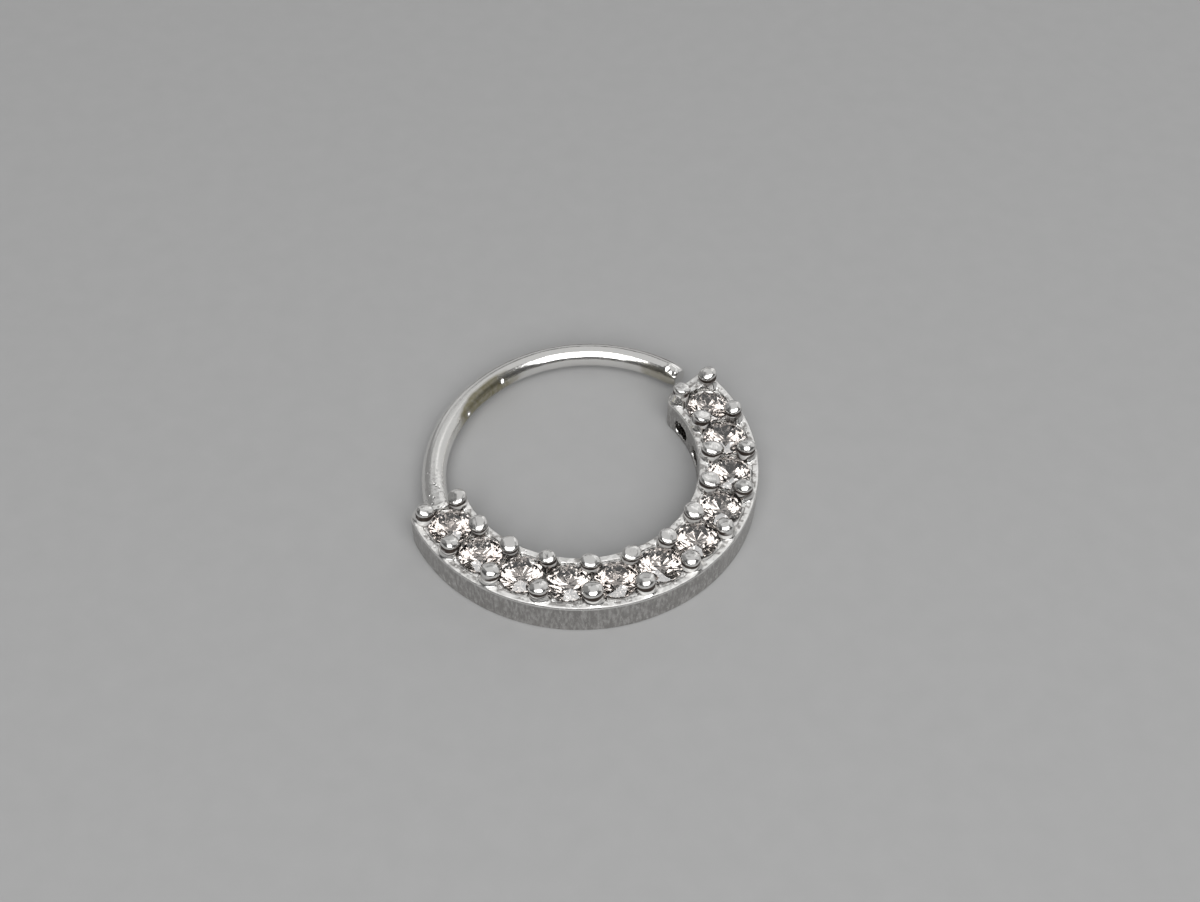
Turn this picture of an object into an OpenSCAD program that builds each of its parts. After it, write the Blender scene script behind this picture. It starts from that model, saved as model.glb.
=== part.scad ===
/* [Half band] */
// Outside radius of the half band, which is centred on the origin
band_outer_r = 7.5; // [7.4:0.1:8]
// Inside radius of the half band
band_inner_r = 5; // [4.8:0.1:5.1]
// Thickness of the half band, which lies on its flat underside
band_t = 1.5; // [1.4:0.1:2]
// Bevel along the edges of the half band
band_bevel = 0.1; // [0.05:0.05:0.15]
// Angle from +X of the end that is soldered to the wire
band_start = -157; // [-158:0.5:-156.5]
// Angle from +X of the end that faces the wire's free tip
band_stop = 43.3; // [43:0.1:45]

/* [Wire] */
// Diameter of the plain wire that goes through the piercing
wire_d = 1; // [0.8:0.1:1.2]
// Radius of the bend that leaves the solder joint
joint_bend_r = 6.87; // [6.8:0.01:6.95]
// Radius of the tighter bend that ends in the free tip
tip_bend_r = 6.28; // [6.1:0.01:6.4]
// Angle at which one bend runs into the other
bend_change = 122; // [110:1:130]
// Angle of the free tip on its own bend
tip_angle = 52; // [51:0.5:60]

/* [Stones] */
// Number of stones in the row
stone_count = 11; // [3:1:11]
// Diameter of a stone over its girdle
stone_d = 1.76; // [1.6:0.02:1.78]
// Radius of the row of stones
stone_row_r = 6.25; // [6.2:0.01:6.3]
// Angle from +X of the middle of the row
row_angle = -59; // [-59.2:0.05:-58]
// Angle from one stone to the next
stone_pitch = 17.55; // [17.4:0.05:17.6]
// Turn of each stone against the one before it
stone_spin = 37; // [0:1:45]
// Gap between a stone and the metal that holds it
stone_gap = 0.03; // [0.02:0.01:0.05]

/* [Prongs] */
// Diameter of the prongs
prong_d = 0.76; // [0.74:0.02:0.8]
// Height of the round prong heads above the band
prong_h = 0.8; // [0.6:0.01:0.85]

/* [Gallery] */
// Width of the window in the inside wall under each stone
window_w = 0.96; // [0.8:0.02:0.98]
// Height of that window
window_h = 0.7; // [0.6:0.05:0.8]
// Height of its sill above the underside
window_sill = 0.2; // [0.15:0.05:0.4]
// Diameter of the hole under each stone
azure_d = 1; // [1:0.05:1.1]

/* [Hidden] */
function stone_name(i) = str("stone_", i < 10 ? "0" : "", i);

$fn = 64;
silver = [0.86, 0.86, 0.84];
clear = [0.9, 0.93, 0.97];

// A solid reaches this far into the one that it is soldered to.
solder_depth = 0.15;
// A cutter runs this far past the face that it opens.
past = 0.5;

middle_r = (band_inner_r + band_outer_r) / 2;
// The soldered end has cut corners, and the free end has round ones.
start_corner = 0.2;
stop_corner_r = 0.5;
// Angle from +X of the centres of the round corners
stop_corner_angle = band_stop - asin(stop_corner_r / middle_r);

// Angle from +X of stone 1 to stone_count, and of prong 0 to stone_count in either row
function stone_angle(i) = row_angle + stone_pitch * (i - (stone_count + 1) / 2);
function prong_angle(i) = row_angle + stone_pitch * (i - stone_count / 2);
// Each row of prongs stands this far inside its edge of the band.
inner_prong_inset = 0.53;
outer_prong_inset = 0.55;
inner_prong_r = band_inner_r + inner_prong_inset;
outer_prong_r = band_outer_r - outer_prong_inset;

// Round brilliant cut, as shares of the diameter. Heights are counted from the girdle.
stone_r = stone_d / 2;
table_r = stone_r * 0.56;
star_r = stone_r * 0.76;
lower_r = stone_r * 0.25;
crown_h = stone_d * 0.15;
pavilion_h = stone_d * 0.43;
girdle_t = stone_d * 0.03;
// The girdle sits this far below the top of the band.
girdle_drop = 0.02;
girdle_z = band_t - girdle_drop;

// Centres of the two bends of the wire, which are tangent where the bend changes
joint_bend_c = [0.75, 0.01];
tip_bend_c = joint_bend_c + (joint_bend_r - tip_bend_r) * unit(bend_change);
wire_z = band_t / 2;
// Angle, on its own bend, at which the wire ends inside the band
joint_angle = 202;
tip_bevel = 0.12;
// The bevel starts this far inside the wire's own edge.
tip_lip = 0.01;
// The solder swells the wire at the band, in a cone that runs out inside the wire.
solder_w = 0.24;
solder_l = 1.3;
solder_end = 0.7 * wire_d;

// The origin lies under the middle of the whole ring's box, this far from the centre of the band.
start_corner_turn = 2 * asin(start_corner / band_outer_r / 2);
box_middle = [
    band_outer_r * (1 + cos(band_start + start_corner_turn)) / 2,
    (tip_bend_c[1] + tip_bend_r + wire_d / 2 - band_outer_r) / 2
];

function unit(a) = [cos(a), sin(a)];
function at_height(p, z) = [p[0], p[1], z];

// Half of the section of a bar that is 2 * w wide and as thick as the band
function bar_profile(w) = [
    [0, 0],
    [w - band_bevel, 0],
    [w, band_bevel],
    [w, band_t - band_bevel],
    [w - band_bevel, band_t],
    [0, band_t]
];

// Flat half band with bevelled edges, up to the centres of its round corners
module band_sweep() {
    half_w = (band_outer_r - band_inner_r) / 2;
    rotate([0, 0, band_start])
        rotate_extrude(angle = stop_corner_angle - band_start, $fn = 180)
            translate([middle_r, 0]) {
                polygon(bar_profile(half_w));
                mirror([1, 0]) polygon(bar_profile(half_w));
            }
}

// Free end of the band with its two round corners
module band_end() {
    inner_r = band_inner_r + stop_corner_r;
    outer_r = band_outer_r - stop_corner_r;
    rotate([0, 0, stop_corner_angle]) {
        for (r = [inner_r, outer_r])
            translate([r, 0, 0]) rotate_extrude() polygon(bar_profile(stop_corner_r));
        translate([inner_r, 0, 0]) rotate([90, 0, 90])
            linear_extrude(outer_r - inner_r) union() {
                polygon(bar_profile(stop_corner_r));
                translate([-solder_depth, 0]) square([2 * solder_depth, band_t]);
            }
    }
}

// Takes the two sharp corners off the soldered end.
module corner_cuts() {
    side = start_corner * sqrt(2);
    for (r = [band_inner_r, band_outer_r])
        rotate([0, 0, band_start]) translate([r, 0, band_t / 2]) rotate([0, 0, 45])
            cube([side, side, band_t + 2 * past], center = true);
}

// One stretch of round wire, bent about the centre c from angle a to angle b
module bent_wire(c, r, a, b) {
    translate(at_height(c, wire_z)) rotate([0, 0, a])
        rotate_extrude(angle = b - a, $fn = 180)
            translate([r, 0]) circle(d = wire_d, $fn = 48);
}

// Turns a solid that stands on Z to run clockwise along a bend from angle a.
module along_bend(c, r, a) {
    translate(at_height(c + r * unit(a), wire_z))
        rotate([0, 0, a]) rotate([90, 0, 0]) children();
}

module wire() {
    bent_wire(tip_bend_c, tip_bend_r, tip_angle, bend_change);
    bent_wire(joint_bend_c, joint_bend_r, bend_change, joint_angle);
    // bevelled free tip
    along_bend(tip_bend_c, tip_bend_r, tip_angle)
        cylinder(d1 = wire_d - 2 * tip_lip, d2 = wire_d - 2 * tip_bevel, h = tip_bevel);
    // swelling of solder
    along_bend(joint_bend_c, joint_bend_r, joint_angle)
        cylinder(d1 = wire_d + solder_w, d2 = solder_end, h = solder_l);
}

// Round-headed prong that stands on the band
module prong(r, a) {
    post_h = solder_depth + prong_h - prong_d / 2;
    rotate([0, 0, a]) translate([r, 0, band_t - solder_depth]) {
        cylinder(d = prong_d, h = post_h, $fn = 32);
        translate([0, 0, post_h]) sphere(d = prong_d, $fn = 32);
    }
}

module prongs() {
    for (i = [0 : stone_count]) {
        prong(inner_prong_r, prong_angle(i));
        prong(outer_prong_r, prong_angle(i));
    }
}

// Space that a stone and its gap take out of the metal, with the hole under it
module seat(i) {
    seat_r = stone_r + stone_gap;
    top_z = girdle_z + girdle_t + crown_h + past;
    rotate([0, 0, stone_angle(i)]) translate([stone_row_r, 0, 0])
        rotate_extrude($fn = 48) polygon([
            [0, -past],
            [azure_d / 2, -past],
            [azure_d / 2, girdle_z - pavilion_h * (1 - azure_d / 2 / stone_r) - stone_gap],
            [seat_r, girdle_z - stone_gap],
            [seat_r, girdle_z + girdle_t + stone_gap],
            [table_r + stone_gap, girdle_z + girdle_t + crown_h + stone_gap],
            [table_r + stone_gap, top_z],
            [0, top_z]
        ]);
}

// Window with round ends, through the inside wall to the hole under a stone
module window(i) {
    side = (window_w - window_h) / 2;
    from_r = band_inner_r - past;
    rotate([0, 0, stone_angle(i)]) translate([from_r, 0, window_sill + window_h / 2])
        rotate([90, 0, 90]) {
            for (s = [-1, 1])
                translate([s * side, 0, 0]) cylinder(d = window_h, h = stone_row_r - from_r);
            translate([-side, -window_h / 2, 0])
                cube([2 * side, window_h, stone_row_r - from_r]);
        }
}

// Band, prongs and wire are soldered and finished as one piece of silver.
module ring_frame() {
    color(silver) translate(-box_middle) difference() {
        union() {
            difference() {
                union() {
                    band_sweep();
                    band_end();
                }
                corner_cuts();
            }
            prongs();
            wire();
        }
        for (i = [1 : stone_count]) {
            seat(i);
            window(i);
        }
    }
}

// Corner rings of the brilliant, each with its count, radius, first angle and height
function corners(n, r, a, z) = [for (k = [0 : n - 1]) at_height(r * unit(a + 360 * k / n), z)];
// Height of a flat main facet at a radius, half a facet off its middle line
function main_z(r, foot_r, h) = h * (stone_r - r * cos(22.5)) / (stone_r - foot_r);

brilliant_points = concat(
    corners(8, table_r, 0, girdle_t + crown_h),
    corners(8, star_r, 22.5, girdle_t + main_z(star_r, table_r, crown_h)),
    corners(16, stone_r, 0, girdle_t),
    corners(16, stone_r, 0, 0),
    corners(8, lower_r, 22.5, -main_z(lower_r, 0, pavilion_h)),
    [[0, 0, -pavilion_h]]
);
// Where each ring of corners starts in the list
table_at = 0;
star_at = 8;
top_at = 16;
under_at = 32;
lower_at = 48;
culet_at = 56;

function eighth(k) = (k + 8) % 8;
function sixteenth(k) = (k + 16) % 16;

brilliant_faces = concat(
    [[for (k = [7 : -1 : 0]) table_at + k]],
    [for (k = [0 : 7]) [table_at + k, table_at + eighth(k + 1), star_at + k]],
    [for (k = [0 : 7]) [table_at + k, star_at + k, top_at + 2 * k, star_at + eighth(k - 1)]],
    [for (k = [0 : 7]) [star_at + k, top_at + 2 * k + 1, top_at + 2 * k]],
    [for (k = [0 : 7]) [star_at + k, top_at + sixteenth(2 * k + 2), top_at + 2 * k + 1]],
    [for (k = [0 : 15]) [
        top_at + k, top_at + sixteenth(k + 1),
        under_at + sixteenth(k + 1), under_at + k
    ]],
    [for (k = [0 : 7]) [lower_at + k, under_at + 2 * k, under_at + 2 * k + 1]],
    [for (k = [0 : 7]) [lower_at + k, under_at + 2 * k + 1, under_at + sixteenth(2 * k + 2)]],
    [for (k = [0 : 7]) [
        culet_at, lower_at + eighth(k - 1), under_at + 2 * k, lower_at + k
    ]]
);

// Clear round stone with a table, a faceted crown and a pointed pavilion
module stone(i) {
    color(clear) translate(-box_middle)
        rotate([0, 0, stone_angle(i)]) translate([stone_row_r, 0, girdle_z])
            rotate([0, 0, stone_spin * i])
                polyhedron(brilliant_points, brilliant_faces);
}

ring_frame();
for (i = [1 : stone_count])
    stone(i);
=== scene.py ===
import math

import bpy
import numpy as np
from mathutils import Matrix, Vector


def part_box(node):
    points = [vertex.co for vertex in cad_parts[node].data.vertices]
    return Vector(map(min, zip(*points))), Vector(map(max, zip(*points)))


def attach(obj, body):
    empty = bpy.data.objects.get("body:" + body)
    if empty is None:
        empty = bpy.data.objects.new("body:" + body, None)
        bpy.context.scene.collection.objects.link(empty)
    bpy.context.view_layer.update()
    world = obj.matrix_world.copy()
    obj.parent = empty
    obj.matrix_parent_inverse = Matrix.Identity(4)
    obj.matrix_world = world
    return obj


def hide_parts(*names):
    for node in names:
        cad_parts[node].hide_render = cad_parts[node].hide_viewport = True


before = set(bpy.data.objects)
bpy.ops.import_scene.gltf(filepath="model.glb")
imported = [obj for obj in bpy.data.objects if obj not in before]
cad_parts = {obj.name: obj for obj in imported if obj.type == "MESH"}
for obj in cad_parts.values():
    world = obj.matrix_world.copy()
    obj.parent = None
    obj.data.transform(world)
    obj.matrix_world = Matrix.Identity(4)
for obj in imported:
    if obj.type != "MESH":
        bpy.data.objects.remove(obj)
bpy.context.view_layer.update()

# Half band
# The flat half ring that carries the stones: cast silver, its top cut a little lower between two
# bright rims, its walls left file-marked. Low webs of metal stand between the stones, and each stone
# has a seat, a drilled hole and a window in the inside wall. The wire is soldered into one end.

# Sizes are in millimetres, and turns in degrees from +X, about the centre of the ring.
MM = 0.001
band_outer_r = 7.5
band_inner_r = 5.0
band_t = 1.5
band_from = -157.0
band_to = 43.3
band_edge_r = 0.08
free_corner_r = 0.5
soldered_corner_r = 0.22
cut_edge_r = 0.035
filing = 0.004
filing_length = 2.6

ring_low, ring_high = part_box("ring_frame")
ring_centre = Vector((ring_high.x - band_outer_r * MM, ring_low.y + band_outer_r * MM, 0))


def corner(a, b, r):
    """Inside both a and b, with the edge where they meet rounded to r."""
    deep = np.minimum(np.maximum(a, b) + r, 0)
    round_edge = np.hypot(np.maximum(a + r, 0), np.maximum(b + r, 0))
    return deep + round_edge - r


def melt(a, b, r):
    """Inside a or b, with the groove where they meet filled as solder fills it."""
    share = np.clip(0.5 + 0.5 * (b - a) / r, 0, 1)
    return b * (1 - share) + a * share - r * share * (1 - share)


def within(value, low, high):
    """Below zero where the value lies between low and high."""
    return np.abs(value - (low + high) / 2) - (high - low) / 2


def folded(x, y, middle, pitch, count):
    """The point as seen from the nearest of count places round the ring, X outwards."""
    turn = (np.degrees(np.arctan2(y, x)) - middle + 180) % 360 - 180
    half = (count - 1) / 2
    place = np.clip(np.round(turn / pitch + half), 0, count - 1) - half
    turn = np.radians(turn - place * pitch)
    r = np.hypot(x, y)
    return r * np.cos(turn), r * np.sin(turn)


def ripples(x, y, z, size):
    """Uneven waves from -1 to 1 about size mm long, as hand work leaves them."""
    k = 2 * math.pi / size
    first = np.sin(k * x + 1.7 * np.sin(0.6 * k * y + 0.8 * k * z))
    second = np.sin(k * (0.5 * x - 0.87 * y) + 1.3 * np.sin(0.7 * k * x + 2.0))
    third = np.sin(k * (0.4 * x + 0.8 * y) + 1.9 * np.sin(0.5 * k * y - 0.6 * k * z + 1.0))
    return (first + second + third) / 3


def past_ends(x, y):
    """How far a point lies past the free end of the band, and past its soldered end."""
    r = np.hypot(x, y)
    half_turn = (band_to - band_from) / 2
    turn = (np.degrees(np.arctan2(y, x)) - (band_from + band_to) / 2 + 180) % 360 - 180
    past_free = r * np.sin(np.radians(np.clip(turn - half_turn, -90, 90)))
    past_soldered = r * np.sin(np.radians(np.clip(-turn - half_turn, -90, 90)))
    return past_free, past_soldered


def blank(x, y, z):
    """The plain band with its rounded edges and ends, a little uneven from the file."""
    past_free, past_soldered = past_ends(x, y)
    across = within(np.hypot(x, y), band_inner_r, band_outer_r)
    plan = corner(corner(across, past_free, free_corner_r), past_soldered, soldered_corner_r)
    return corner(plan, within(z, 0, band_t), band_edge_r) + ripples(x, y, z, filing_length) * filing


channel_from_r = 5.27
channel_to_r = 7.23
channel_depth = 0.06
channel_slope = 1.1
channel_end_gap = 0.3
channel_corner_r = 0.35
graver_cut = 0.02
graver_lengths = (0.8, 0.37, 0.21)
graver_shares = (1, 0.4, 0.2)
# The slope lengthens the distance to the channel's sides, and this brings it back to about true.
channel_side_scale = 0.74


def channel(x, y, z):
    """Space of the shallow channel between the rims, uneven all over from the graver."""
    long_cut, short_cut, fine_cut = graver_lengths
    cuts = ripples(x, y, z, long_cut), ripples(y, x, z, short_cut), ripples(x, -y, z, fine_cut)
    graver = sum(cut * share for cut, share in zip(cuts, graver_shares)) * graver_cut
    across = within(np.hypot(x, y), channel_from_r, channel_to_r)
    ends = np.maximum(*past_ends(x, y)) + channel_end_gap
    side = corner(across, ends, channel_corner_r) - (z - band_t) / channel_slope
    return np.maximum((side + graver) * channel_side_scale, band_t - channel_depth + graver - z)


stone_count = 11
stone_row_r = 6.25
stone_pitch = 17.55
row_angle = -59.0
prong_count = stone_count + 1
web_half_l = 0.72
web_half_w = 0.28
web_end_w = 0.2
web_z = 1.6
web_end_z = 0.32
web_lean = 0.5
web_lumps = 0.04
web_lump_length = 0.45
web_fillet = 0.12


def webs(x, y, z):
    """Low webs of metal across the channel, wider and higher towards the prongs at their ends."""
    lx, ly = folded(x, y, row_angle, stone_pitch, prong_count)
    off_middle = np.abs(lx - stone_row_r)
    near_prong = np.clip(off_middle / web_half_l, 0, 1) ** 2
    top = web_z + near_prong * web_end_z + ripples(x, y, z, web_lump_length) * web_lumps
    half_w = web_half_w + near_prong * web_end_w
    lean = np.maximum(z - band_t, 0) * web_lean
    side = np.hypot(ly, np.maximum(off_middle - web_half_l, 0)) - half_w + lean
    return np.maximum(np.maximum(side, z - top), band_t / 2 - z)


seat_r = 0.91
seat_z = 1.45
seat_foot_z = 1.123
hole_r = 0.5
bright_cut_slope = 0.45
window_half_w = 0.48
window_z = (0.2, 0.9)


def stone_seats(x, y, z):
    """Space of the seats, their drilled holes and the windows behind them."""
    lx, ly = folded(x, y, row_angle, stone_pitch, stone_count)
    around = np.hypot(lx - stone_row_r, ly)
    flare = (seat_r - hole_r) / (seat_z - seat_foot_z)
    cone = (around - hole_r - (z - seat_foot_z) * flare) / math.hypot(1, flare)
    seat = np.minimum(around - hole_r, np.maximum(cone, around - seat_r))
    rise = (z - (band_t - channel_depth)) * bright_cut_slope
    bright_cut = (around - seat_r - rise) / math.hypot(1, bright_cut_slope)
    seat = np.minimum(seat, np.maximum(bright_cut, seat_z - z))
    middle_z = sum(window_z) / 2
    end_r = (window_z[1] - window_z[0]) / 2
    window = np.hypot(np.maximum(np.abs(ly) - window_half_w + end_r, 0), z - middle_z) - end_r
    return np.minimum(seat, np.maximum(window, lx - stone_row_r))


wire_r = 0.5
wire_z = 0.75
joint_bend_r = 6.87
joint_bend_c = (0.75, 0.01)
joint_angle = 202.0
solder_l = 1.25
solder_r = 0.61
solder_foot_r = wire_r - 0.03
solder_hollow = 1.5
solder_fillet = 0.3
solder_lumps = 0.05
solder_lump_length = 0.5


def solder(x, y, z):
    """Solder round the last stretch of the wire, thickest and lumpiest at the band."""
    from_c = np.hypot(x - joint_bend_c[0], y - joint_bend_c[1])
    turn = np.degrees(np.arctan2(y - joint_bend_c[1], x - joint_bend_c[0])) % 360
    along = np.radians(joint_angle - turn) * joint_bend_r
    near_band = np.clip(1 - along / solder_l, 0, 1)
    swell = solder_foot_r + (solder_r - solder_foot_r) * near_band ** solder_hollow
    swell = swell + ripples(x, y, z, solder_lump_length) * solder_lumps * near_band
    tube = np.hypot(from_c - joint_bend_r, z - wire_z) - swell
    return np.maximum(tube, within(along, 0, solder_l))


def half_band_form(x, y, z):
    """Below zero inside the metal of the band, above zero outside it."""
    cut_band = corner(blank(x, y, z), -channel(x, y, z), cut_edge_r)
    webbed = melt(cut_band, webs(x, y, z), web_fillet)
    soldered = np.maximum(melt(webbed, solder(x, y, z), solder_fillet), -z)
    return corner(soldered, -stone_seats(x, y, z), cut_edge_r)


def skin(values):
    """Corners, in grid steps, and outward quads of a closed skin round the negative part of a grid."""
    cells = tuple(n - 1 for n in values.shape)
    total, hits = np.zeros((*cells, 3)), np.zeros(cells)
    inside = values < 0
    crossings = []
    for axis in range(3):
        first, last = [slice(None)] * 3, [slice(None)] * 3
        first[axis], last[axis] = slice(0, -1), slice(1, None)
        a, b = values[tuple(first)], values[tuple(last)]
        crossing = inside[tuple(first)] != inside[tuple(last)]
        crossings.append((crossing, inside[tuple(first)]))
        place = np.stack(np.indices(crossing.shape), -1).astype(float)
        place[..., axis] += np.where(crossing, a / np.where(crossing, a - b, 1), 0)
        place *= crossing[..., None]
        b_axis, c_axis = (axis + 1) % 3, (axis + 2) % 3
        for b_side in (slice(0, -1), slice(1, None)):
            for c_side in (slice(0, -1), slice(1, None)):
                part = [slice(None)] * 3
                part[b_axis], part[c_axis] = b_side, c_side
                total += place[tuple(part)]
                hits += crossing[tuple(part)]
    used = hits > 0
    number = np.full(cells, -1)
    number[used] = np.arange(used.sum())
    quads = []
    for axis, (crossing, outwards) in enumerate(crossings):
        edge = np.argwhere(crossing)
        forward = outwards[crossing]
        ring = []
        for b_step, c_step in ((-1, -1), (0, -1), (0, 0), (-1, 0)):
            cell = edge.copy()
            cell[:, (axis + 1) % 3] += b_step
            cell[:, (axis + 2) % 3] += c_step
            ring.append(number[cell[:, 0], cell[:, 1], cell[:, 2]])
        quad = np.stack(ring, 1)
        quads.append(np.where(forward[:, None], quad, quad[:, ::-1]))
    return total[used] / hits[used][:, None], np.concatenate(quads)


def slope(form, points, step=0.002):
    """Direction and steepness in which a form grows at each point."""
    sides = []
    for axis in range(3):
        ahead, behind = points.copy(), points.copy()
        ahead[:, axis] += step
        behind[:, axis] -= step
        sides.append((form(*ahead.T) - form(*behind.T)) / (2 * step))
    return np.stack(sides, 1)


# The least length that anything is divided by.
tiny = 1e-9


def settled(form, points, reach, rounds=3, flattest=0.05):
    """Points moved onto the surface of the form, in rounds, none further than reach in each."""
    for _ in range(rounds):
        grow = slope(form, points)
        steep = np.maximum((grow ** 2).sum(1), flattest)
        move = grow * (form(*points.T) / steep)[:, None]
        length = np.maximum(np.linalg.norm(move, axis=1), tiny)
        points = points - move * np.minimum(1, reach / length)[:, None]
    return points


def in_frame(points):
    """Millimetres about the centre of the ring, as metres in the shared frame."""
    return points * MM + np.array(ring_centre)


def from_frame(points):
    """Metres in the shared frame, as millimetres about the centre of the ring."""
    return (points - np.array(ring_centre)) / MM


def mesh_points(mesh):
    """The corners of a mesh, one to a row."""
    flat = np.empty(len(mesh.vertices) * 3)
    mesh.vertices.foreach_get("co", flat)
    return flat.reshape(-1, 3)


def thinned(piece, triangles):
    """Takes out corners where the surface is flat, until about so many triangles are left."""
    piece.data.calc_loop_triangles()
    thin = piece.modifiers.new("thin", "DECIMATE")
    thin.ratio = min(1, triangles / len(piece.data.loop_triangles))
    seen = bpy.context.evaluated_depsgraph_get()
    mesh = bpy.data.meshes.new_from_object(piece.evaluated_get(seen))
    piece.modifiers.remove(thin)
    piece.data = mesh


# The share of a grid step that a corner may move in each round, before and after the thinning.
first_reach = 0.7
last_reach = 0.3


def cast_piece(name, form, radii, turns, heights, grain, triangles):
    """A piece of metal as the surface of a form, worked out on a grid of that grain round the ring."""
    middle_r = sum(radii) / 2
    counts = [
        int((radii[1] - radii[0]) / grain),
        int(math.radians(turns[1] - turns[0]) * middle_r / grain),
        int((heights[1] - heights[0]) / grain),
    ]
    axes = [np.linspace(a, b, n) for (a, b), n in zip((radii, turns, heights), counts)]
    r, turn, z = np.meshgrid(*axes, indexing="ij")
    turn = np.radians(turn)
    corners, quads = skin(form(r * np.cos(turn), r * np.sin(turn), z))
    r, turn, z = (a[0] + corners[:, k] * (a[1] - a[0]) for k, a in enumerate(axes))
    turn = np.radians(turn)
    points = np.stack((r * np.cos(turn), r * np.sin(turn), z), 1)
    points = settled(form, points, grain * first_reach)
    mesh = bpy.data.meshes.new(name)
    mesh.from_pydata(in_frame(points).tolist(), [], quads.tolist())
    piece = bpy.data.objects.new(name, mesh)
    bpy.context.scene.collection.objects.link(piece)
    thinned(piece, triangles)
    points = settled(form, from_frame(mesh_points(piece.data)), grain * last_reach)
    piece.data.vertices.foreach_set("co", in_frame(points).ravel())
    out = slope(form, points)
    out /= np.maximum(np.linalg.norm(out, axis=1), tiny)[:, None]
    piece.data.shade_smooth()
    piece.data.normals_split_custom_set_from_vertices(out.tolist())
    return piece


grid_gap = 0.1
grid_top = 2.0
solder_turn = 20
free_end_turn = 3

half_band = cast_piece(
    "half_band",
    half_band_form,
    radii=(band_inner_r - grid_gap, band_outer_r + grid_gap),
    turns=(band_from - solder_turn, band_to + free_end_turn),
    heights=(-grid_gap, grid_top),
    grain=0.048,
    triangles=170000,
)


class Flow:
    """A socket of a node tree. Sums on it add Math nodes, and node() adds any other node."""

    def __init__(self, tree, socket=None):
        self.tree, self.socket = tree, socket

    def node(self, kind, settings=None, sockets=None, out=0):
        """Adds a node, with its settings first and then the values or flows of its sockets."""
        made = self.tree.nodes.new(kind)
        for name, value in (settings or {}).items():
            setattr(made, name, value)
        for name, value in (sockets or {}).items():
            if isinstance(value, Flow):
                self.tree.links.new(value.socket, made.inputs[name])
            else:
                made.inputs[name].default_value = value
        return None if out is None else Flow(self.tree, made.outputs[out])

    def math(self, operation, *values):
        """A number from this one and any others."""
        values = {k: v for k, v in enumerate((self, *values))}
        return self.node("ShaderNodeMath", {"operation": operation}, values)

    def vector_math(self, operation, *values, out=0):
        """A vector, or with out=1 a number, from this vector and any others."""
        values = {k: v for k, v in enumerate((self, *values))}
        return self.node("ShaderNodeVectorMath", {"operation": operation}, values, out)

    def axis(self, number):
        """X, Y or Z of this vector, as axis 0, 1 or 2."""
        return self.node("ShaderNodeSeparateXYZ", {}, {0: self}, number)

    def vector(self, x=0, y=0, z=0):
        """A vector of three numbers or flows."""
        return self.node("ShaderNodeCombineXYZ", {}, {0: x, 1: y, 2: z})

    def noise(self, scale, detail):
        """Cloudy noise at this place, with about scale waves to the metre."""
        return self.node("ShaderNodeTexNoise", {}, {"Vector": self, "Scale": scale, "Detail": detail})

    def between(self, low, high):
        """0 where the value is at low, 1 where it is at high, smooth between them."""
        settings = {"interpolation_type": "SMOOTHSTEP"}
        return self.node("ShaderNodeMapRange", settings, {0: self, 1: low, 2: high})

    def between_mm(self, low, high):
        """The same for a length, with its limits in millimetres."""
        return self.between(low * MM, high * MM)

    def mixed(self, one, other):
        """Colour one where this flow is 0, and the other where it is 1."""
        return self.node("ShaderNodeMix", {"data_type": "RGBA"}, {0: self, 6: one, 7: other}, 2)

    def bump(self, depth, strength=1.0):
        """A surface that rises by depth mm where this relief rises from 0 to 1."""
        sockets = {"Height": self, "Distance": depth * MM, "Strength": strength}
        return self.node("ShaderNodeBump", {}, sockets)

    def __add__(self, other):
        return self.math("ADD", other)

    __radd__ = __add__

    def __sub__(self, other):
        return self.math("SUBTRACT", other)

    def __rsub__(self, other):
        return self.math("MULTIPLY", -1).math("ADD", other)

    def __mul__(self, other):
        return self.math("MULTIPLY", other)

    __rmul__ = __mul__

    def __truediv__(self, other):
        return self.math("DIVIDE", other)

    def __rtruediv__(self, other):
        return self.math("POWER", -1).math("MULTIPLY", other)

    def __pow__(self, other):
        return self.math("POWER", other)


def new_material(name):
    """An empty material, its tree as a flow, and its principled shader."""
    material = bpy.data.materials.new(name)
    material.use_nodes = True
    tree = material.node_tree
    tree.nodes.clear()
    shader = tree.nodes.new("ShaderNodeBsdfPrincipled")
    output = tree.nodes.new("ShaderNodeOutputMaterial")
    tree.links.new(shader.outputs[0], output.inputs[0])
    return material, Flow(tree), shader


def feed(shader, **sockets):
    """Gives the shader's sockets their values or flows."""
    for name, value in sockets.items():
        socket = shader.inputs[name.replace("_", " ")]
        if isinstance(value, Flow):
            value.tree.links.new(value.socket, socket)
        else:
            socket.default_value = value


def about_ring(place, seam):
    """X, Y and Z from the ring's centre, distance from its axis, and turn, which jumps at the seam."""
    from_c = place.node("ShaderNodeMapping", {}, {"Vector": place, "Location": tuple(-ring_centre)})
    x, y, z = (from_c.axis(number) for number in range(3))
    turn = y.math("ARCTAN2", x).math("WRAP", math.radians(seam + 360), math.radians(seam))
    return x, y, z, (x * x + y * y).math("SQRT"), turn


def scratches(place, size, stretch, turn):
    """Fine polishing lines about size mm wide, drawn out along one direction."""
    sockets = {"Vector": place, "Rotation": (0, 0, turn), "Scale": (1, stretch, 1)}
    return place.node("ShaderNodeMapping", {}, sockets).noise(scale=1 / (size * MM), detail=3)


silver_colour = (0.90, 0.89, 0.87, 1)
# This dark colour marks random flecks on the top, and also gives the tarnish and painted shade in the
# seats and round the prong feet.
flecks_tarnish_shade_colour = (0.10, 0.08, 0.07, 1)
# The walls' grey is a painted dark reflection, not the silver's own colour.
wall_painted_reflection_colour = (0.24, 0.23, 0.22, 1)
top_from_z = (1.3, 1.4)
wall_to_z = (1.38, 1.45)
rim_from_r = (band_outer_r - 0.14, band_outer_r - 0.08)
file_stretch = (1, 1, 0.3)


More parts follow.
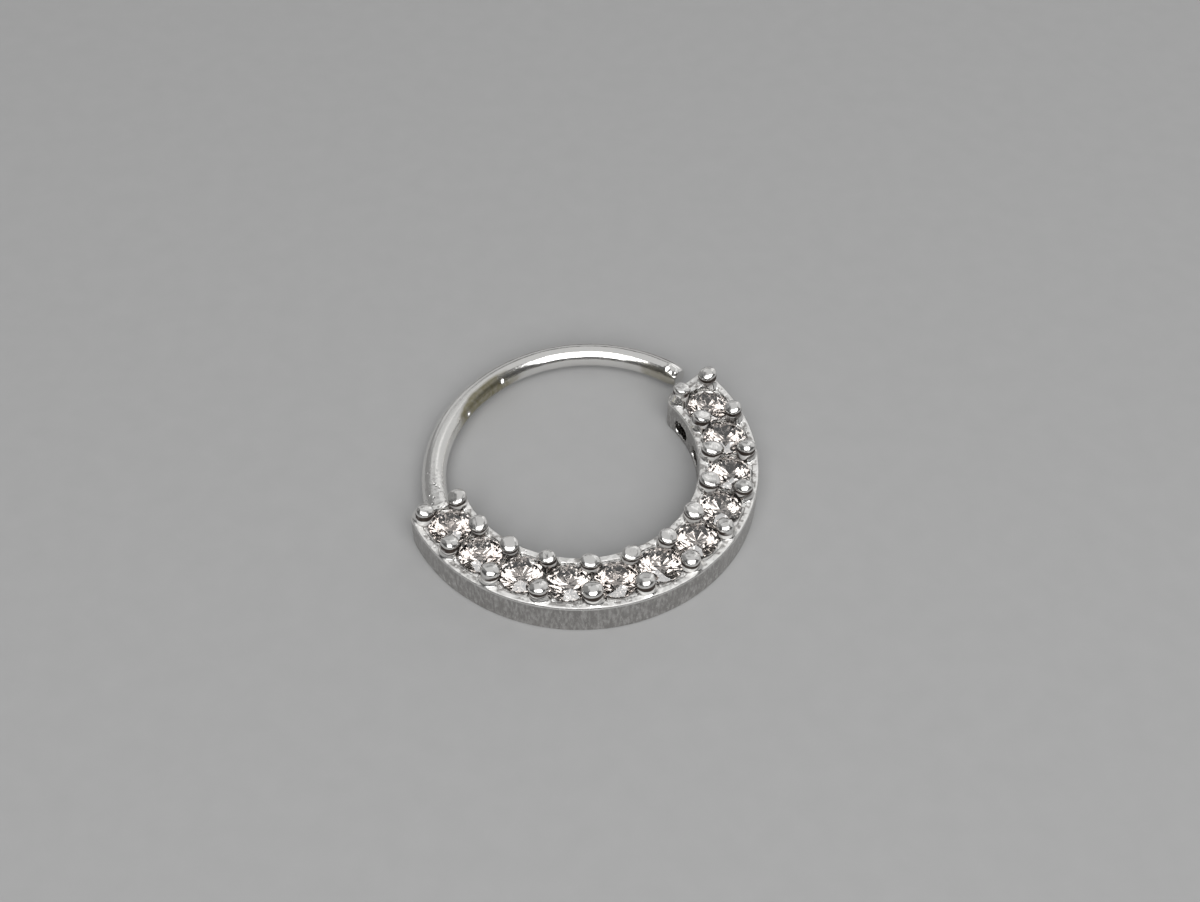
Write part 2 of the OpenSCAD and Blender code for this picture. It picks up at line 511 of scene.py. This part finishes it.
def band_silver():
    """Bright-cut, pitted top; file-marked walls painted grey as a dark reflection; tarnish and painted
    shade darken the corners under the stones.
    """
    material, flow, shader = new_material("band_silver")
    place = flow.node("ShaderNodeTexCoord", out="Object")
    up = flow.node("ShaderNodeTexCoord", out="Normal").axis(2)
    _, _, z, reach, turn = about_ring(place, seam=-180)
    top = up.between(0.6, 0.95) * z.between_mm(*top_from_z)
    wall = (1 - up.math("ABSOLUTE").between(0.3, 0.7)) * (1 - z.between_mm(*wall_to_z))
    cut = top * (1 - reach.between_mm(*rim_from_r))
    patches = place.noise(scale=2600, detail=4)
    fine = place.noise(scale=16000, detail=3)
    dimples = place.noise(scale=6200, detail=2)
    pits = flow.node("ShaderNodeTexVoronoi", {}, {"Vector": place, "Scale": 5200})
    pits = (1 - pits.between(0.1, 0.4)) * patches.between(0.46, 0.6) * cut
    marks = cut * (1 - place.noise(scale=4300, detail=4).between(0.38, 0.5))
    round_row = flow.vector(reach, turn * (stone_row_r * MM), z)
    lines = scratches(round_row, size=0.05, stretch=0.08, turn=0.1)
    upright = flow.node("ShaderNodeMapping", {}, {"Vector": place, "Scale": file_stretch})
    file_marks = upright.noise(scale=9000, detail=3).between(0.3, 0.62) * wall
    deep = flow.node("ShaderNodeAttribute", {"attribute_name": "deep"}, out="Fac")
    # Tarnish and painted shade: darker, duller metal deep in the seats under the stones and round the
    # feet of the prongs.
    tarnish_and_shade = (deep * (0.45 + patches * 0.6)).math("MINIMUM", 1)
    colour = tarnish_and_shade.math("MAXIMUM", marks * 0.6).mixed(silver_colour, flecks_tarnish_shade_colour)
    # Painted dark reflection: the walls below the rim are mixed towards grey, darker still along the
    # file marks.
    colour = (wall * 0.42 + file_marks * 0.36).mixed(colour, wall_painted_reflection_colour)
    relief = (patches * 0.4 + dimples * 0.4) * top + fine * (0.05 + top * 0.2) - pits * 0.7
    relief = relief + lines * 0.1 + file_marks * 0.25
    rough = 0.08 + top * (0.2 + patches * 0.3) + fine * 0.08 + pits * 0.12 + tarnish_and_shade * 0.2 + wall * 0.14
    frost = top * (patches * 0.5 + dimples * 0.5).between(0.38, 0.54) * (1 - pits)
    metal = 1 - frost * 0.7
    bump = relief.bump(depth=0.06)
    feed(shader, Base_Color=colour, Metallic=metal, Roughness=rough, Normal=bump)
    return material


# Each prong of a row by its reach from the centre of the ring and its turn.
inner_reach = (5.50, 5.44, 5.46, 5.50, 5.52, 5.51, 5.55, 5.51, 5.54, 5.56, 5.57, 5.68)
inner_turn = (-155.3, -138.4, -120.7, -103.4, -85.7, -68.1, -50.7, -32.9, -15.0, 2.8, 20.9, 39.0)
outer_reach = (6.95, 6.94, 6.94, 6.96, 6.97, 7.00, 6.97, 6.96, 6.94, 6.96, 6.97, 7.08)
outer_turn = (-153.6, -138.0, -120.4, -103.3, -86.0, -68.6, -51.1, -33.3, -15.1, 2.4, 20.3, 38.2)
prong_r = 0.38
foot_fade = 0.03
seat_to_r = seat_r + 0.02
seat_to_z = band_t - 0.05
seat_fade = 0.2
side_fade = 0.25


def deep_places(x, y, z):
    """How much tarnish and painted shade darken the metal: 1 deep in the seats and round the feet of
    the prongs, 0 in the open.
    """
    lx, ly = folded(x, y, row_angle, stone_pitch, stone_count)
    around = np.hypot(lx - stone_row_r, ly)
    r = np.hypot(x, y)
    in_seat = np.clip((seat_to_r - around) / seat_fade, 0, 1)
    below_top = np.clip((seat_to_z - z) / seat_fade, 0, 1)
    off_inside = np.clip((r - band_inner_r) / side_fade, 0, 1)
    off_outside = np.clip((band_outer_r - r) / side_fade, 0, 1)
    # Painted shade and tarnish inside each seat, and a thin ring of them round each prong foot.
    tarnish_shade_share = in_seat * below_top * (off_inside * off_outside) * np.clip(z / seat_fade, 0, 1)
    for reach, turn in zip(inner_reach + outer_reach, inner_turn + outer_turn):
        turn = math.radians(turn)
        foot = np.hypot(x - reach * math.cos(turn), y - reach * math.sin(turn)) - prong_r
        tarnish_shade_share = np.maximum(tarnish_shade_share, np.clip(1 - foot / foot_fade, 0, 1) * (z > band_t - seat_fade))
    return tarnish_shade_share


points = from_frame(mesh_points(half_band.data))
deep = half_band.data.attributes.new("deep", "FLOAT", "POINT")
deep.data.foreach_set("value", deep_places(*points.T))
half_band.data.materials.append(band_silver())
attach(half_band, "root")
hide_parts("ring_frame")

# Bead prongs
# Round-headed silver posts that stand in two rows between the stones, one row along each edge of
# the band. Each was pushed over the edges of two stones, so no two lean or bulge quite alike.
post_length = 0.85
waist = -0.01
head_spread = (0.96, 1.05)
top_spread = (0.0, 0.09)
sway_spread = (-0.1, 0.1)
pressing = 0.09
pressing_waves = 1.7
crown_foot_z = 1.56
crown_slope = 1.477
notch_r = 0.84


def new_tree(name, inputs):
    """A geometry tree with these named inputs, as a flow, with its inputs as flows by name."""
    tree = bpy.data.node_groups.new(name, "GeometryNodeTree")
    tree.interface.new_socket("Geometry", in_out="OUTPUT", socket_type="NodeSocketGeometry")
    tree.interface.new_socket("Start", in_out="INPUT", socket_type="NodeSocketGeometry")
    kinds = {int: "NodeSocketInt", float: "NodeSocketFloat"}
    for label, value in inputs.items():
        socket = tree.interface.new_socket(label, in_out="INPUT", socket_type=kinds[type(value)])
        socket.default_value = value
    group = tree.nodes.new("NodeGroupInput")
    return Flow(tree), {label: Flow(tree, group.outputs[label]) for label in ("Start", *inputs)}


def grown(name, shape, material, sizes, start=()):
    """A piece that a tree grows from its named sizes and first points, made a plain mesh."""
    real = shape.node("GeometryNodeRealizeInstances", {}, {0: shape})
    coated = shape.node("GeometryNodeSetMaterial", {}, {0: real, "Material": material})
    coated.node("NodeGroupOutput", {}, {0: coated}, None)
    piece = bpy.data.objects.new(name, bpy.data.meshes.new(name))
    piece.data.from_pydata(start, [], [])
    bpy.context.scene.collection.objects.link(piece)
    growth = piece.modifiers.new("growth", "NODES")
    growth.node_group = shape.tree
    for socket in shape.tree.interface.items_tree:
        if socket.name in sizes:
            growth[socket.identifier] = sizes[socket.name]
    seen = bpy.context.evaluated_depsgraph_get()
    mesh = bpy.data.meshes.new_from_object(piece.evaluated_get(seen))
    piece.modifiers.remove(growth)
    piece.data = mesh
    return piece


# Painted shadow: the dark line under each bead head.
shadow_colour = (0.04, 0.03, 0.025, 1)
shadow_from_z = (1.79, 1.82)
frosted_to_z = (1.76, 1.8)


def bead_silver():
    """Polished heads with faint pressing marks, a painted shadow under each, and frosted posts below.
    """
    material, flow, shader = new_material("bead_silver")
    place = flow.node("ShaderNodeTexCoord", out="Object")
    up = flow.node("ShaderNodeTexCoord", out="Normal").axis(2)
    dents = place.noise(scale=2300, detail=2)
    fine = place.noise(scale=15000, detail=3)
    lines = scratches(place, size=0.06, stretch=0.1, turn=1.1)
    # Painted shadow on the sides of each head that face down or sideways, just under its rim.
    under = 1 - (up + (dents - 0.5) * 0.3).between(0.1, 0.24)
    level = place.axis(2) + (dents - 0.5) * 0.05 * MM
    shadow = under * level.between_mm(*shadow_from_z)
    frosted = under * (1 - level.between_mm(*frosted_to_z))
    colour = shadow.mixed(silver_colour, shadow_colour)
    relief = dents + fine * 0.12 + lines * 0.15
    rough = 0.12 + fine * 0.07 + dents * 0.06 + shadow * 0.3 + frosted * 0.35
    metal = 1 - shadow * 0.8 - frosted * 0.6
    bump = relief.bump(depth=0.03)
    feed(shader, Base_Color=colour, Metallic=metal, Roughness=rough, Normal=bump)
    feed(shader, Specular_IOR_Level=0.2)
    return material


def notched(row):
    """Cuts the corner of a stone's crown out of the prongs, by moving their sides off its cone."""
    at = row.node("GeometryNodeInputPosition")
    x = at.axis(0) / MM - ring_centre.x / MM
    y = at.axis(1) / MM - ring_centre.y / MM
    z = at.axis(2) / MM
    half = (stone_count - 1) / 2
    opposite = math.radians(row_angle + 180)
    turn = y.math("ARCTAN2", x).math("WRAP", opposite + 2 * math.pi, opposite) - math.radians(row_angle)
    place = (turn / math.radians(stone_pitch)).math("ROUND")
    place = place.math("MAXIMUM", -half).math("MINIMUM", half)
    stone_turn = place * math.radians(stone_pitch) + math.radians(row_angle)
    off_x = x - stone_turn.math("COSINE") * stone_row_r
    off_y = y - stone_turn.math("SINE") * stone_row_r
    around = (off_x * off_x + off_y * off_y).math("SQRT")
    crown_r = (seat_r - (z - crown_foot_z).math("MAXIMUM", 0) * crown_slope).math("MAXIMUM", notch_r)
    step = (crown_r - around).math("MAXIMUM", 0) / around.math("MAXIMUM", 0.1) * MM
    move = row.vector(off_x * step, off_y * step)
    return row.node("GeometryNodeSetPosition", {}, {"Geometry": row, "Offset": move})


def prong_row(name, reaches, turns, sizes, material):
    """One row of prongs: a bead for each, its lower half drawn down into a post."""
    flow, given = new_tree(name + "_tree", sizes)
    spots = [
        (
            ring_centre.x + reach * math.cos(math.radians(turn)) * MM,
            ring_centre.y + reach * math.sin(math.radians(turn)) * MM,
            0,
        )
        for reach, turn in zip(reaches, turns)
    ]

    def chance(spread, draw):
        """A random number of that spread for each prong, another one for each draw."""
        sockets = {2: spread[0], 3: spread[1], "Seed": given["Seed"] + draw}
        return flow.node("FunctionNodeRandomValue", {}, sockets, 1)

    head = given["Head radius"] * chance(head_spread, 0)
    top_z = given["Head top"] - chance(top_spread, 1)
    lift = flow.vector(z=(top_z - head * given["Head height"]) * MM)
    raised = flow.node("GeometryNodeSetPosition", {}, {"Geometry": given["Start"], "Offset": lift})

    ball = flow.node("GeometryNodeMeshUVSphere", {}, {"Segments": 48, "Rings": 40, "Radius": 1.0})
    at = flow.node("GeometryNodeInputPosition")
    at_x, at_y, at_z = (at.axis(number) for number in range(3))
    power = given["Squareness"]
    across = (at_x * at_x + at_y * at_y).math("SQRT")
    swell = (across ** power + at_z.math("ABSOLUTE") ** power) ** (-1 / power)
    lower = at_z.math("LESS_THAN", waist)
    neck = 1 - lower * given["Neck"]
    bead_z = at_z * swell * (lower + (1 - lower) * given["Head height"]) - lower * post_length
    spot = flow.vector(at_x * swell * neck, at_y * swell * neck, bead_z)
    bead = flow.node("GeometryNodeSetPosition", {}, {"Geometry": ball, "Position": spot})
    bead = flow.node("GeometryNodeSetShadeSmooth", {}, {"Geometry": bead})

    turn = (at_y - ring_centre.y).math("ARCTAN2", at_x - ring_centre.x)
    facing = flow.vector(chance(sway_spread, 2), chance(sway_spread, 3) + given["Lean"], turn)
    sideways = turn.math("COSINE") ** 2
    depth = head * (1 - (1 - sideways) * given["Lower squeeze"])
    width = head * given["Head width"] * (1 - sideways * given["Side squeeze"])
    size = flow.vector(depth * MM, width * MM, head * MM)
    beads = {"Points": raised, "Instance": bead, "Rotation": facing, "Scale": size}
    row = flow.node("GeometryNodeInstanceOnPoints", {}, beads)
    row = flow.node("GeometryNodeRealizeInstances", {}, {0: row})

    out = flow.node("GeometryNodeInputNormal")
    noise = flow.node("ShaderNodeTexNoise", {}, {"Scale": pressing_waves / MM, "Detail": 1.0})
    bulge = (noise - 0.5) * pressing * MM
    push = flow.node("ShaderNodeVectorMath", {"operation": "SCALE"}, {0: out, "Scale": bulge})
    row = flow.node("GeometryNodeSetPosition", {}, {"Geometry": row, "Offset": push})
    piece = grown(name, notched(row), material, sizes, spots)
    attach(piece, "root")
    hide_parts("ring_frame")


# A head's width lies along the row, and is a share of its radius. Its depth lies across the row.
# The lower squeeze takes depth off the heads at the bottom of the ring, and the side squeeze takes
# width off those at its sides.
inner_sizes = {
    "Head radius": 0.44,
    "Head width": 0.88,
    "Lower squeeze": 0.25,
    "Side squeeze": 0.0,
    "Head top": 2.18,
    "Head height": 0.5,
    "Squareness": 3.0,
    "Neck": 0.15,
    "Lean": 0.16,
    "Seed": 50,
}
outer_sizes = {
    "Head radius": 0.4,
    "Head width": 1.05,
    "Lower squeeze": 0.0,
    "Side squeeze": 0.13,
    "Head top": 2.29,
    "Head height": 0.7,
    "Squareness": 2.4,
    "Neck": 0.18,
    "Lean": -0.16,
    "Seed": 80,
}
polished_beads = bead_silver()
prong_row("inner_prongs", inner_reach, inner_turn, inner_sizes, polished_beads)
prong_row("outer_prongs", outer_reach, outer_turn, outer_sizes, polished_beads)

# Wire
# Plain round silver wire, bent by hand in two slightly different curves and polished, with four
# small nicks and two tarnished patches. One end is soldered into the band. The free end, which goes
# through the ear, is cut square and rounded over.
tip_bend_r = 6.28
bend_change = 122.0
tip_angle = 50.4
bend_step = joint_bend_r - tip_bend_r
tip_bend_c = (
    joint_bend_c[0] + bend_step * math.cos(math.radians(bend_change)),
    joint_bend_c[1] + bend_step * math.sin(math.radians(bend_change)),
)
tip_round = 0.13
swelling_l = (0.6, 4.2)
swelling_r = 0.045
# Each nick is a small flat that faces the nick way.
nick_spots = (
    (-4.781, 3.183, 0.829),
    (-3.371, 4.943, 0.982),
    (3.904, 5.507, 1.209),
    (4.224, 5.244, 1.2),
)
nick_r = (0.07, 0.17)
nick_way = (0.03, -0.655, 0.755)
wire_sizes = {
    "Wire radius": wire_r,
    "Tip angle": tip_angle,
    "Bend change": bend_change,
    "Joint angle": joint_angle,
}

# Where each tarnished patch fades in and out round the ring, and where its outer border lies,
# measured from the middle of the wire. The long one grows narrower towards the joint.
tarnish_colour = (0.30, 0.27, 0.16, 1)
long_patch_from = (115, 124)
long_patch_to = (152, 162)
long_patch_border = (-0.26, -0.08)
long_patch_taper = 0.22
long_patch_narrows = (138, 160)
tip_patch_from = (30, 40)
tip_patch_to = (62, 72)
tip_patch_border = (-0.4, -0.26)
end_waver = 30
border_waver = 0.3

# The wire is less polished on the side of its joint, and pitted from the soldering close to it.
satin_x = (-6, -2)
pitted_x = (-5, -4)
pitted_y = (-2.6, 0.6)


def off_bend(x, y, centre, r):
    """How far outside the middle line of a bend a place on the wire lies, below 0 inside it."""
    return ((x - centre[0] * MM) ** 2 + (y - centre[1] * MM) ** 2) ** 0.5 - r * MM


def wire_silver():
    """Polished silver with drawn lines, and two olive tarnish patches along its inner side."""
    material, flow, shader = new_material("wire_silver")
    place = flow.node("ShaderNodeTexCoord", out="Object")
    x, y, z, reach, turn = about_ring(place, seam=-60)
    round_bend = flow.vector(reach, turn * (joint_bend_r * MM), z)
    lines = scratches(round_bend, size=0.06, stretch=0.06, turn=0.1)
    turn = turn / math.radians(1)
    patches = place.noise(scale=700, detail=4)
    specks = place.noise(scale=5200, detail=4)
    fine = place.noise(scale=16000, detail=3)
    turn_there = turn + (patches - 0.5) * end_waver
    uneven = (patches - 0.5) * border_waver * MM
    taper = turn.between(*long_patch_narrows) * long_patch_taper * MM
    off_joint_bend = off_bend(x, y, joint_bend_c, joint_bend_r) + uneven + taper
    off_tip_bend = off_bend(x, y, tip_bend_c, tip_bend_r) + uneven
    long_patch = turn_there.between(*long_patch_from) * (1 - turn_there.between(*long_patch_to))
    long_patch = long_patch * (1 - off_joint_bend.between_mm(*long_patch_border))
    tip_patch = turn.between(*tip_patch_from) * (1 - turn_there.between(*tip_patch_to))
    tip_patch = tip_patch * (1 - off_tip_bend.between_mm(*tip_patch_border))
    tarnish = (long_patch + tip_patch * 0.7) * (0.55 + specks * 0.6)
    for spot in nick_spots:
        nick = tuple(in_frame(np.array(spot)))
        tarnish = tarnish * place.vector_math("DISTANCE", nick, out=1).between_mm(*nick_r)
    at_joint = (1 - y.between_mm(*pitted_y)) * (1 - x.between_mm(*pitted_x))
    pits = flow.node("ShaderNodeTexVoronoi", {}, {"Vector": place, "Scale": 4200})
    pits = (1 - pits.between(0.12, 0.3)) * at_joint * specks.between(0.42, 0.6)
    satin = 1 - x.between_mm(*satin_x)
    colour = tarnish.mixed(silver_colour, tarnish_colour)
    relief = patches * 0.9 + fine * 0.08 + lines * 0.08 - pits * 2 + specks * at_joint * 1.8
    rough = 0.07 + fine * 0.05 + patches * 0.05 + tarnish * 0.16 + pits * 0.15 + satin * 0.13
    bump = relief.bump(depth=0.025)
    feed(shader, Base_Color=colour, Metallic=1.0, Roughness=rough, Normal=bump)
    return material


# The points along the wire crowd towards its tip, where the rounded end needs them.
wire_points = 420
crowding = 1.5


def bent_wire():
    """A straight line of points bent along the two curves, with a round section swept along it."""
    flow, given = new_tree("wire_tree", wire_sizes)
    line = flow.node("GeometryNodeCurvePrimitiveLine", {}, {"End": (1, 0, 0)})
    line = flow.node("GeometryNodeResampleCurve", {}, {"Curve": line, "Count": wire_points})
    share = flow.node("GeometryNodeSplineParameter") ** crowding
    tip_turn = (given["Bend change"] - given["Tip angle"]) * math.radians(1)
    joint_turn = (given["Joint angle"] - given["Bend change"]) * math.radians(1)
    tip_length = tip_turn * tip_bend_r
    along = share * (tip_length + joint_turn * joint_bend_r)
    past = along.math("GREATER_THAN", tip_length)
    turn = given["Tip angle"] * math.radians(1) + (
        along.math("MINIMUM", tip_length) / tip_bend_r
        + (along - tip_length).math("MAXIMUM", 0) / joint_bend_r
    )
    r = tip_bend_r + past * bend_step
    x = tip_bend_c[0] + past * (joint_bend_c[0] - tip_bend_c[0]) + turn.math("COSINE") * r
    y = tip_bend_c[1] + past * (joint_bend_c[1] - tip_bend_c[1]) + turn.math("SINE") * r
    spot = flow.vector(x * MM + ring_centre.x, y * MM + ring_centre.y, wire_z * MM)
    line = flow.node("GeometryNodeSetPosition", {}, {"Geometry": line, "Position": spot})

    short = (tip_round - along).math("MAXIMUM", 0)
    rounding = tip_round - (tip_round * tip_round - short * short).math("MAXIMUM", 0).math("SQRT")
    to_joint = tip_length + joint_turn * joint_bend_r - along
    swelling = (1 - to_joint.between(*swelling_l)) * swelling_r
    section_r = (given["Wire radius"] - rounding + swelling) * MM
    section = flow.node("GeometryNodeCurvePrimitiveCircle", {}, {"Resolution": 64, "Radius": 1.0})
    sweep = {"Curve": line, "Profile Curve": section, "Scale": section_r, "Fill Caps": True}
    swept = flow.node("GeometryNodeCurveToMesh", {}, sweep)

    at = flow.node("GeometryNodeInputPosition")
    for spot in nick_spots:
        off = at.vector_math("SUBTRACT", in_frame(np.array(spot)))
        lift = off.vector_math("DOT_PRODUCT", nick_way, out=1)
        press = (off.vector_math("LENGTH", out=1).between_mm(*nick_r) - 1) * lift
        push = flow.node("ShaderNodeVectorMath", {"operation": "SCALE"}, {0: nick_way, "Scale": press})
        swept = flow.node("GeometryNodeSetPosition", {}, {"Geometry": swept, "Offset": push})
    return flow.node("GeometryNodeSetShadeSmooth", {}, {"Geometry": swept})


wire = grown("wire", bent_wire(), wire_silver(), wire_sizes)
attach(wire, "root")
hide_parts("ring_frame")

# Stones
# Eleven round brilliants of clear cubic zirconia, each in its seat with its table up. Their cut
# is that of the solids, which keep their places and get a cut stone's gloss.
stone_colour = (0.62, 0.57, 0.535, 1)
clouded_colour = (0.50, 0.445, 0.41, 1)


def clear_stone():
    """Clear stone that bends light strongly, with faint wiping marks on its facets."""
    material, flow, shader = new_material("clear_stone")
    place = flow.node("ShaderNodeTexCoord", out="Object")
    clouds = place.noise(scale=900, detail=3).between(0.35, 0.65)
    marks = scratches(place, size=0.05, stretch=0.1, turn=0.9)
    colour = clouds.mixed(stone_colour, clouded_colour)
    rough = 0.014 + marks.between(0.5, 0.8) * 0.03
    bump = marks.bump(depth=0.0006, strength=0.6)
    feed(shader, Base_Color=colour, Roughness=rough, Normal=bump)
    feed(shader, IOR=2.16, Transmission_Weight=1.0)
    return material


cut_stone = clear_stone()
for name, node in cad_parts.items():
    if name.startswith("stone_"):
        for slot in node.material_slots:
            slot.material = cut_stone

# Floor, light and camera
# A plain pale floor and a dim room, with five soft lights round the ring, seen from where the
# photograph was taken. Sizes and distances of the floor and the lights are in metres.
floor_half = 0.22
floor_colour = (0.36, 0.36, 0.36, 1)
floor_grain_colour = (0.39, 0.39, 0.39, 1)


def pale_floor():
    """Matt grey with a faint grain."""
    material, flow, shader = new_material("pale_floor")
    grain = flow.node("ShaderNodeTexCoord", out="Object").noise(scale=900, detail=4)
    feed(shader, Base_Color=grain.mixed(floor_colour, floor_grain_colour), Roughness=0.7)
    return material


floor_mesh = bpy.data.meshes.new("floor")
floor_corners = [(x * floor_half, y * floor_half, 0) for x, y in ((-1, -1), (1, -1), (1, 1), (-1, 1))]
floor_mesh.from_pydata(floor_corners, [], [(0, 1, 2, 3)])
floor = bpy.data.objects.new("floor", floor_mesh)
floor.data.materials.append(pale_floor())
bpy.context.scene.collection.objects.link(floor)


def soft_box(name, turn, rise, distance, size, power):
    """A soft light that looks at the ring from that turn round it and that rise above the floor."""
    light = bpy.data.lights.new(name, "AREA")
    light.shape = "RECTANGLE"
    light.size, light.size_y = size
    light.energy = power
    lamp = bpy.data.objects.new(name, light)
    turn, rise = math.radians(turn), math.radians(rise)
    way = Vector((math.sin(turn) * math.cos(rise), -math.cos(turn) * math.cos(rise), math.sin(rise)))
    lamp.location = ring_centre + way * distance
    lamp.rotation_mode = "QUATERNION"
    lamp.rotation_quaternion = way.to_track_quat("Z", "Y")
    bpy.context.scene.collection.objects.link(lamp)


soft_box("front_box", turn=5, rise=48, distance=0.35, size=(0.4, 0.34), power=1.5)
soft_box("top_box", turn=180, rise=75, distance=0.35, size=(0.34, 0.45), power=0.24)
soft_box("back_box", turn=180, rise=22, distance=0.45, size=(0.6, 0.2), power=0.15)
soft_box("left_box", turn=-125, rise=28, distance=0.4, size=(0.5, 0.4), power=0.1)
soft_box("right_box", turn=125, rise=28, distance=0.4, size=(0.5, 0.4), power=0.32)

# The room that lights the ring is dimmer than the plain wall that the camera sees behind it.
room_colour = (0.07, 0.07, 0.07, 1)
seen_wall_colour = (0.5, 0.5, 0.5, 1)
world = bpy.data.worlds.new("studio")
world.use_nodes = True
world.node_tree.nodes.clear()
seen = Flow(world.node_tree).node("ShaderNodeLightPath", out="Is Camera Ray")
shining = seen.node("ShaderNodeBackground", {}, {"Color": seen.mixed(room_colour, seen_wall_colour)})
shining.node("ShaderNodeOutputWorld", {}, {"Surface": shining}, None)
bpy.context.scene.world = world
bpy.context.scene.view_settings.view_transform = "Standard"

camera_rise = 50.47
camera_roll = -0.2
camera_distance = 66.7
lens = bpy.data.cameras.new("photo_camera")
lens.lens = 47.88
lens.sensor_width = 36
lens.shift_x = 0.0172
lens.shift_y = 0.0078
lens.clip_start, lens.clip_end = 0.001, 5
camera = bpy.data.objects.new("photo_camera", lens)
rise = math.radians(camera_rise)
back = Vector((0, -math.cos(rise), math.sin(rise)))
aim = ring_centre + Vector((0, 0, band_t * MM))
camera.location = aim + back * camera_distance * MM
camera.rotation_euler = (math.radians(90 - camera_rise), 0, 0)
camera.rotation_euler.rotate_axis("Z", math.radians(camera_roll))
bpy.context.scene.collection.objects.link(camera)
bpy.context.scene.camera = camera
